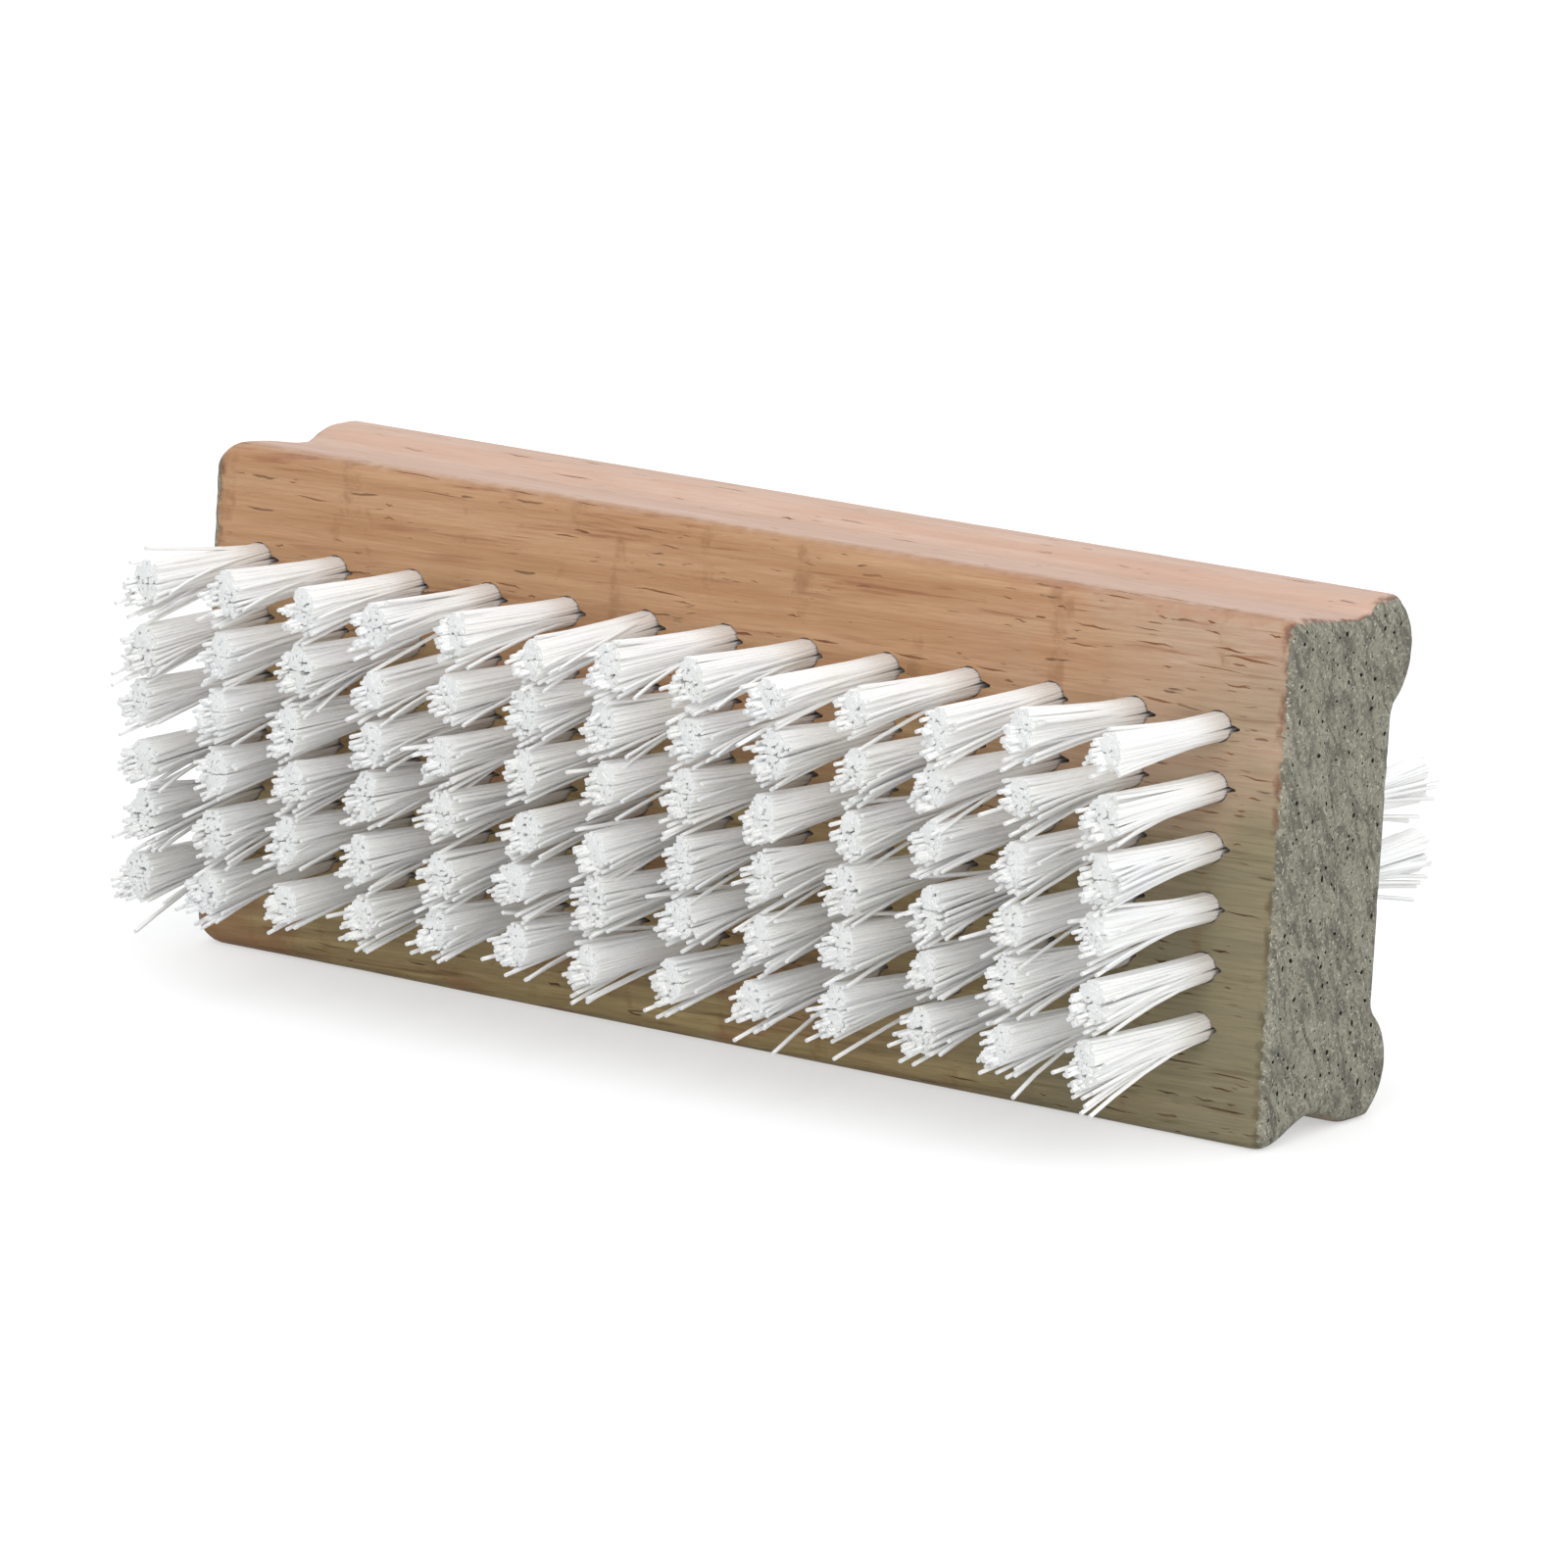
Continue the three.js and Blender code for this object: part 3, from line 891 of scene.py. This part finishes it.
# Drillings: a round hole with the slit that its staple was driven through
drilling = {
    "radius": 1.14 * mm,
    "slitHalf": (0.2 * mm, 0.34 * mm),
    "slitTip": 0.3,  # of the slit's width
    "slitReach": (-0.4 * mm, 0.04 * mm),
    "above": 1.5 * mm,
    "aboveFlare": 2.2,  # times the mouth's
    "mouthFlare": 0.04 * mm,
    "mouthDepth": 0.4 * mm,
    "flareRange": (0.6, 1.3),
    "below": 1.2 * mm,
    "roughness": 0.02,
    "sides": 28,
    "seed": 7,
}


def keyholeRing(hole, radius, seeds):
    slitHalf = seeds.uniform(*hole["slitHalf"])
    opening = math.asin(slitHalf / radius)
    ring = []
    for start in (0, math.pi):
        turn = 1 if start == 0 else -1
        ear = turn * (stapleHalf + seeds.uniform(*hole["slitReach"]))
        tip = turn * slitHalf * hole["slitTip"]
        ring += [(ear, -tip), (ear, tip)]
        for angle in np.linspace(start + opening, start + math.pi - opening, hole["sides"] // 2):
            wobble = radius * (1 + seeds.uniform(-1, 1) * hole["roughness"])
            ring.append((wobble * math.cos(angle), wobble * math.sin(angle)))
    return ring


def buildDrillings(hole):
    seeds = np.random.default_rng(hole["seed"])
    points, polygons = [], []
    levels = [
        (-hole["above"], hole["aboveFlare"]),
        (0.0, 1),
        (hole["mouthDepth"], 0),
        (stapleBottom + hole["below"], 0),
    ]
    for face in faces.values():
        for height in face["rows"]:
            for place in columnPlaces:
                base = keyholeRing(hole, hole["radius"], seeds)
                start = len(points)
                for depth, widen in levels:
                    flare = hole["mouthFlare"] * widen * seeds.uniform(*hole["flareRange"])
                    grow = 1 + flare / hole["radius"]
                    y = face["surface"] - face["out"] * depth
                    points += [(place + u * grow, y, height + v * grow) for u, v in base]
                joinRings(polygons, start, len(levels), len(base))
                closeRings(polygons, start, len(levels), len(base))
    return closedMesh("drillings", points, polygons, smooth=False)


# Open pores: thin spindles of missing wood along the grain
openPores = {
    "count": 420,
    "length": (0.7 * mm, 5.5 * mm),
    "shortness": 2.2,  # power that makes short pores the common ones
    "width": (0.09 * mm, 0.26 * mm),
    "swell": (0.7, 1.2),
    "wobble": 0.4,  # of the width
    "mouth": 0.5,  # halves of the width, at the top and at the bottom
    "bottom": 0.2,
    "depth": 0.6,  # of the width
    "lift": 0.12 * mm,
    "slope": -0.02,
    "clear": 0.45 * mm,
    "endClear": 0.9 * mm,
    "holeClear": 0.2 * mm,
    "faceReach": 0.5 * mm,
    "rightFrom": 34 * mm,
    "frontShare": 0.3,
    "elsewhereShare": 0.1,
    "tearShare": 0.55,
    "tearLength": (1.4 * mm, 3.4 * mm),
    "tearLevel": (0.85 * mm, 1.3 * mm),
    "tearAbove": 0.6,  # share of the tears that lie above their hole
    "tearStart": 0.6 * mm,
    "tolerance": 0.01 * mm,  # points this near the front face lie on it
    "seed": 23,
}
spindle = [(-1, 0.15), (-0.55, 0.7), (0, 1.0), (0.5, 0.8), (1, 0.15)]  # place along it, share of its width


def addSpindle(points, polygons, x, spot, length, width, pore, seeds):
    place, outward, across = spot
    start = len(points)
    mouth, bottom, lift = pore["mouth"], pore["bottom"], pore["lift"]
    for t, swell in spindle:
        swell *= seeds.uniform(*pore["swell"])
        aside = t * length / 2 * pore["slope"]
        aside += seeds.uniform(-pore["wobble"], pore["wobble"]) * width
        depth = swell * width * pore["depth"]
        corners = ((mouth, lift), (-mouth, lift), (-bottom, -depth), (bottom, -depth))
        for share, level in corners:
            y, z = place + across * (aside + share * width * swell) + outward * level
            points.append((x + t * length / 2, y, z))
    joinRings(polygons, start, len(spindle), len(corners))
    closeRings(polygons, start, len(spindle), len(corners))


def nearHole(x, y, z, length, pore):
    reach = drilling["radius"] + pore["holeClear"]
    for face in faces.values():
        if abs(y - face["surface"]) > pore["faceReach"]:
            continue
        if min(abs(z - height) for height in face["rows"]) > reach:
            continue
        if min(abs(x - column) for column in columnPlaces) < reach + length / 2:
            return True
    return False


def buildPores(pore, loop, outward):
    seeds = np.random.default_rng(pore["seed"])
    steps = np.hypot(*(np.roll(loop, -1, axis=0) - loop).T)
    arcs = np.cumsum(steps)
    points, polygons, taken = [], [], []

    def cut(x, index, length, width):
        for otherX, otherArc, otherLength in taken:
            apart = abs(otherX - x) - (otherLength + length) / 2
            if abs(arcs[index] - otherArc) < pore["clear"] and apart < pore["clear"]:
                return
        taken.append((x, arcs[index], length))
        across = np.array([outward[index][1], -outward[index][0]])
        across *= np.sign(across[1]) or 1
        spot = (loop[index], outward[index], across)
        addSpindle(points, polygons, x, spot, length, width, pore, seeds)

    # Grain torn beside the holes of the front face
    frontPoints = np.where(np.isclose(loop[:, 0], blockLow.y, rtol=0, atol=pore["tolerance"]))[0]
    for height in faces["front"]["rows"]:
        for column in columnPlaces:
            draw = seeds.random(4)
            if draw[0] > pore["tearShare"]:
                continue
            length = np.interp(draw[1], (0, 1), pore["tearLength"])
            aside = np.interp(draw[2], (0, 1), pore["tearLevel"])
            level = height + (aside if draw[3] < pore["tearAbove"] else -aside)
            index = frontPoints[np.argmin(np.abs(loop[frontPoints, 1] - level))]
            cut(column + pore["tearStart"] + length / 2, index, length, pore["width"][1])
    reach = blockHigh.x - pore["endClear"]
    while len(taken) < pore["count"]:
        draw = seeds.random(5)
        length = np.interp(draw[0] ** pore["shortness"], (0, 1), pore["length"])
        width = np.interp(draw[1], (0, 1), pore["width"])
        index = int(np.searchsorted(arcs, draw[2] * arcs[-1]))
        x = (2 * draw[3] - 1) * (reach - length / 2)
        keep = pore["elsewhereShare"]
        if loop[index][0] < blockLow.y + blockShape["arris"]:
            keep = 1 if x > pore["rightFrom"] else pore["frontShare"]
        if draw[4] < keep and not nearHole(x, *loop[index], length, pore):
            cut(x, index, length, width)
    return closedMesh("openPores", points, polygons, smooth=False)


# Vessel mouths on the sawn ends
endPits = {
    "count": 340,
    "radius": (0.06 * mm, 0.2 * mm),
    "smallness": 2.5,  # power that makes small pits the common ones
    "stretch": 0.6,
    "lift": 0.4 * mm,
    "liftSize": 1.15,
    "depth": 0.55 * mm,
    "depthSize": 0.5,
    "spacing": 1.6,  # of two radii
    "clear": 0.15 * mm,
    "rimClear": 0.7 * mm,
    "sides": 7,
    "seed": 29,
}


def insideLoop(y, z, loop):
    nextPoint = np.roll(loop, -1, axis=0)
    spans = (loop[:, 1] > z) != (nextPoint[:, 1] > z)
    rise = np.where(spans, nextPoint[:, 1] - loop[:, 1], 1)
    crossing = loop[:, 0] + (z - loop[:, 1]) / rise * (nextPoint[:, 0] - loop[:, 0])
    return np.count_nonzero(spans & (crossing > y)) % 2 == 1


def addPit(points, polygons, end, y, z, radius, longRadius, turn, pit):
    start = len(points)
    sides = pit["sides"]
    levels = ((pit["lift"], pit["liftSize"]), (0, 1.0), (-pit["depth"], pit["depthSize"]))
    for level, size in levels:
        for angle in np.arange(sides) * 2 * math.pi / sides:
            u = size * longRadius * math.cos(angle)
            v = size * radius * math.sin(angle)
            aside = u * math.cos(turn) - v * math.sin(turn)
            up = u * math.sin(turn) + v * math.cos(turn)
            points.append((end * (blockHigh.x + level), y + aside, z + up))
    joinRings(polygons, start, len(levels), sides)
    closeRings(polygons, start, len(levels), sides)


def buildPits(pit, loop):
    seeds = np.random.default_rng(pit["seed"])
    points, polygons = [], []
    for end in (-1, 1):
        taken = []
        while len(taken) < pit["count"]:
            draw = seeds.random(5)
            y = np.interp(draw[0], (0, 1), (blockLow.y, blockHigh.y))
            z = draw[1] * blockHigh.z
            radius = np.interp(draw[2] ** pit["smallness"], (0, 1), pit["radius"])
            toRim = np.min(np.hypot(*(loop - (y, z)).T))
            if not insideLoop(y, z, loop) or toRim < pit["rimClear"]:
                continue
            gaps = [math.hypot(y - a, z - b) - pit["spacing"] * (radius + r) for a, b, r in taken]
            if any(gap < pit["clear"] for gap in gaps):
                continue
            taken.append((y, z, radius))
            longRadius = radius * (1 + pit["stretch"] * draw[3])
            addPit(points, polygons, end, y, z, radius, longRadius, 2 * math.pi * draw[4], pit)
    return closedMesh("endPits", points, polygons, smooth=False)


def cutFrom(target, cutterMesh, cutMaterial):
    cutterMesh.materials.append(cutMaterial)
    cutter = newObject("cutter", cutterMesh)
    cut = target.modifiers.new("cut", "BOOLEAN")
    cut.operation = "DIFFERENCE"
    cut.solver = "MANIFOLD"
    cut.object = cutter
    cut.material_mode = "TRANSFER"
    graph = bpy.context.evaluated_depsgraph_get()
    finished = bpy.data.meshes.new_from_object(target.evaluated_get(graph))
    target.modifiers.clear()
    target.data = finished
    bpy.data.objects.remove(cutter)


blockLoop = blockSection(blockShape)
loopOutward = outwardOf(blockLoop)
blockMesh = buildBlock(blockShape, endNet, blockLoop, loopOutward)
blockMesh.materials.append(blockWood)
block = newObject("wood_block_turned", blockMesh)
cutFrom(block, buildDrillings(drilling), drilledWood)
cutFrom(block, buildPores(openPores, blockLoop, loopOutward), openPore)
cutFrom(block, buildPits(endPits, blockLoop), openPore)
block.data.set_sharp_from_angle(angle=blockShape["sharpAngle"])
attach(block, "root")
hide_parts("wood_block")
print("wood block made:", len(block.data.polygons), "faces")

# Tufts: nylon filaments, each folded once round its staple
tuftShape = {
    "filamentRadius": 0.15 * mm,
    "swell": 0.1,  # of the radius, at the cut end
    "sides": 6,
    "bundleRadius": 0.9 * mm,
    "pitch": 0.17 * mm,
    "layerPitch": 0.12 * mm,
    "layers": 7,  # on each side of the staple
    "split": 0.2 * mm,  # from the staple's middle to the nearest filaments
    "closed": 0.09 * mm,  # the same where the tuft has closed
    "closedAt": 2.2 * mm,
    "flarePower": 1.1,
    "flareAcross": (-0.1, 0.3),
    "flareUp": (0.55, 1.15),
    "flareUpLast": (0.45, 1.15),  # towards the right end
    "lean": 0.25 * mm,
    "inwardLean": 0.9 * mm,  # grows towards the left end
    "clumps": 12,
    "clumpShift": 0.04 * mm,
    "clumpBend": 3.0,
    "clumpCut": (-0.1 * mm, 0.1 * mm),
    "jitter": 0.02 * mm,
    "uneven": 0.03 * mm,
    "dome": 0.3 * mm,  # outer filaments end this much lower
    "toothShare": 0.5,
    "toothSide": (-0.8, -0.6),
    "toothFrom": 0.3,  # only filaments this far to that side stand proud
    "tooth": (0.15 * mm, 1.6 * mm),
    "strays": [
        {"share": 0.014, "lean": 2.4 * mm, "bend": (1.0, 1.5)},
        {"share": 0.18, "lean": 1.6 * mm, "bend": (1.2, 2.2)},
    ],
    "strayOutward": 0.5,
    "strayDrop": (0.05, -0.5),
    "strayScatter": 0.35,
    "strayReach": (0.4, 1),
    "sharpAngle": math.radians(60),
    "seeds": {"front": 200, "back": 400},
}
legShares = np.array([0.0, 0.065, 0.3, 0.55, 0.8, 0.985, 1.0])  # rings along the free length
foldTurns = np.radians([50, 0, -50])


# Where the filaments stand in a tuft: a round bundle, in layers on both sides of the staple
def tuftLegs(tuft):
    legs = []
    for layer in range(tuft["layers"]):
        rest = layer * tuft["layerPitch"]
        half = math.sqrt(tuft["bundleRadius"] ** 2 - (tuft["closed"] + rest) ** 2)
        number = int(2 * half / tuft["pitch"]) + 1
        legs += [((i - (number - 1) / 2) * tuft["pitch"], rest) for i in range(number)]
    return legs


# One half of a filament, from the staple out to its cut end
def legLine(tuft, u, rest, aside, length, flare, lean, splay, bend):
    line = [(u, -stapleBottom, aside * (tuft["split"] + rest))]
    for share in legShares:
        height = share * length
        close = min(1, height / tuft["closedAt"])
        gap = tuft["split"] + (tuft["closed"] - tuft["split"]) * close
        spread = share ** tuft["flarePower"]
        stray = splay * share ** bend
        x = u * (1 + flare[0] * spread) + lean[0] * spread + stray[0]
        z = aside * (gap + rest) * (1 + flare[1] * spread) + lean[1] * spread + stray[1]
        line.append((x, height, z))
    return line


# Centre lines of one tuft's filaments, in tuft coordinates: sideways, outward, up
def tuftLines(tuft, reach, pull, flareUp, seeds):
    flare = (seeds.uniform(*tuft["flareAcross"]), seeds.uniform(*flareUp))
    lean = seeds.normal(0, tuft["lean"], 2) + (pull, 0)
    clumpHome = seeds.uniform(-1, 1, (tuft["clumps"], 2))
    clumpShift = seeds.normal(0, tuft["clumpShift"], (tuft["clumps"], 2))
    clumpCut = seeds.uniform(*tuft["clumpCut"], tuft["clumps"])
    lines = []
    for u, rest in tuftLegs(tuft):
        halves = []
        for aside in (1, -1):
            home = np.array([u, aside * (rest + tuft["closed"])]) / tuft["bundleRadius"]
            clump = int(np.argmin(np.hypot(*(clumpHome - home).T)))
            length = reach + clumpCut[clump] + seeds.normal(0, tuft["uneven"])
            length -= tuft["dome"] * home @ home
            proud = home @ tuft["toothSide"] > tuft["toothFrom"]
            if proud and seeds.random() < tuft["toothShare"]:
                length += seeds.uniform(*tuft["tooth"])
            splay = clumpShift[clump] + seeds.normal(0, tuft["jitter"], 2)
            bend = tuft["clumpBend"]
            chance = seeds.random()
            for kind in tuft["strays"]:
                if 0 <= chance < kind["share"]:
                    scatter = seeds.normal(0, tuft["strayScatter"], 2)
                    aim = tuft["strayOutward"] * home + tuft["strayDrop"] + scatter
                    splay = splay + aim * kind["lean"] * seeds.uniform(*tuft["strayReach"])
                    bend = seeds.uniform(*kind["bend"])
                chance -= kind["share"]
            halves.append(legLine(tuft, u, rest, aside, length, flare, lean, splay, bend))
        turn = tuft["filamentRadius"] + rest
        wide = tuft["split"] + rest
        fold = [(u, -stapleBottom - turn * math.cos(a), wide * math.sin(a)) for a in foldTurns]
        lines.append(halves[0][::-1] + fold + halves[1])
    return np.array(lines)


def sweepTubes(lines, radius, swell, sides):
    count, rings, _ = lines.shape
    tangent = np.gradient(lines, axis=1)
    tangent /= np.linalg.norm(tangent, axis=2)[:, :, None]
    across = np.cross(tangent, np.array([1.0, 0, 0]))
    across /= np.linalg.norm(across, axis=2)[:, :, None]
    other = np.cross(tangent, across)
    angles = np.arange(sides) * 2 * math.pi / sides
    legs = radius * (1 + swell * legShares)
    size = np.concatenate([legs[::-1], np.full(rings - 2 * len(legs), radius), legs])
    circle = across[:, :, None] * np.cos(angles)[:, None] + other[:, :, None] * np.sin(angles)[:, None]
    points = lines[:, :, None] + circle * size[:, None, None]
    ring = np.arange(rings - 1)[:, None] * sides
    corner = np.arange(sides)[None, :]
    following = (corner + 1) % sides
    corners = [ring + corner, ring + sides + corner, ring + sides + following, ring + following]
    quads = np.stack(corners, axis=-1).reshape(-1, 4)
    return points.reshape(count, -1, 3), quads


def addValues(mesh, name, domain, values):
    made = mesh.attributes.new(name, "FLOAT", domain)
    made.data.foreach_set("value", values.astype(np.float32))


def buildTufts(name, face, rows, tuft, seed):
    seeds = np.random.default_rng(seed)
    points, polygons, tones, cutEnds = [], [], [], []
    offset = 0
    sides = tuft["sides"]
    flareEnds = np.array([tuft["flareUp"], tuft["flareUpLast"]])
    for height in rows:
        for place in columnPlaces:
            pull = max(0, -place / blockHigh.x) * tuft["inwardLean"]
            flareUp = flareEnds[0] + (flareEnds[1] - flareEnds[0]) * max(0, place / blockHigh.x) ** 2
            lines = tuftLines(tuft, face["reach"], pull, flareUp, seeds)
            sideways, outward, up = np.moveaxis(lines, -1, 0)
            outward = face["surface"] + face["out"] * outward
            world = np.stack([place + sideways, outward, height + up], axis=-1)
            tubes, quads = sweepTubes(world, tuft["filamentRadius"], tuft["swell"], sides)
            perTube = tubes.shape[1]
            for tube in tubes:
                points.append(tube)
                polygons += (quads + offset).tolist()
                closeRings(polygons, offset, perTube // sides, sides)
                tones.append(np.full(perTube, seeds.random()))
                cutEnds.append(np.append(np.zeros(len(quads)), (1, 1)))
                offset += perTube
    mesh = closedMesh(name, np.concatenate(points), polygons)
    addValues(mesh, "filamentTone", "POINT", np.concatenate(tones))
    addValues(mesh, "cutEnd", "FACE", np.concatenate(cutEnds))
    mesh.set_sharp_from_angle(angle=tuft["sharpAngle"])
    mesh.materials.append(tuftNylon)
    return newObject(name, mesh)


rowsPerPiece = 2
for faceName, face in faces.items():
    for first in range(0, len(face["rows"]), rowsPerPiece):
        span = f"rows_{first + 1}_to_{first + rowsPerPiece}"
        rows = face["rows"][first:first + rowsPerPiece]
        seed = tuftShape["seeds"][faceName] + first
        tufts = buildTufts(f"{faceName}_tufts_{span}", face, rows, tuftShape, seed)
        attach(tufts, "root")
        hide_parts(f"{faceName}_bristles_{span}")
        print("tufts made:", tufts.name, len(tufts.data.polygons), "faces")

# Staples: short lengths of flat wire, cut to a chisel at both ends
staple = {
    "thickness": firstStapleHigh.z - firstStapleLow.z,
    "chisel": 0.35 * mm,
    "chiselAt": 0.75,  # of the depth
    "bevel": {"offset": 0.05 * mm, "segments": 2, "profile": 0.6},
    "sharpAngle": math.radians(40),
}


def buildStaples(name, face, height, wire):
    bm = bmesh.new()
    thickness = wire["thickness"]
    point = stapleTop + (stapleBottom - stapleTop) * wire["chiselAt"]
    for place in columnPlaces:
        outline = []
        for side in (-1, 1):
            outer = place + side * stapleHalf
            inner = outer - side * wire["chisel"]
            column = [(inner, stapleTop), (outer, point), (inner, stapleBottom)]
            outline += column if side > 0 else column[::-1]
        foot = height - thickness / 2
        lower = [bm.verts.new((x, face["surface"] - face["out"] * depth, foot)) for x, depth in outline]
        plate = bm.faces.new(lower)
        grown = bmesh.ops.extrude_face_region(bm, geom=[plate])
        raised = [v for v in grown["geom"] if isinstance(v, bmesh.types.BMVert)]
        bmesh.ops.translate(bm, verts=raised, vec=(0, 0, thickness))
    bmesh.ops.recalc_face_normals(bm, faces=bm.faces)
    bmesh.ops.bevel(bm, geom=bm.edges[:], affect="EDGES", **wire["bevel"])
    mesh = bpy.data.meshes.new(name)
    bm.to_mesh(mesh)
    bm.free()
    mesh.shade_smooth()
    mesh.set_sharp_from_angle(angle=wire["sharpAngle"])
    mesh.materials.append(stapleSteel)
    return newObject(name, mesh)


for faceName, face in faces.items():
    for row, height in enumerate(face["rows"]):
        rowName = f"{faceName}_row_{row + 1}_staples"
        wires = buildStaples(f"{rowName}_flat_wire", face, height, staple)
        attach(wires, "root")
        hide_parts(*[f"{rowName}_{group + 1}" for group in range(stapleGroups)])
print("staples made")
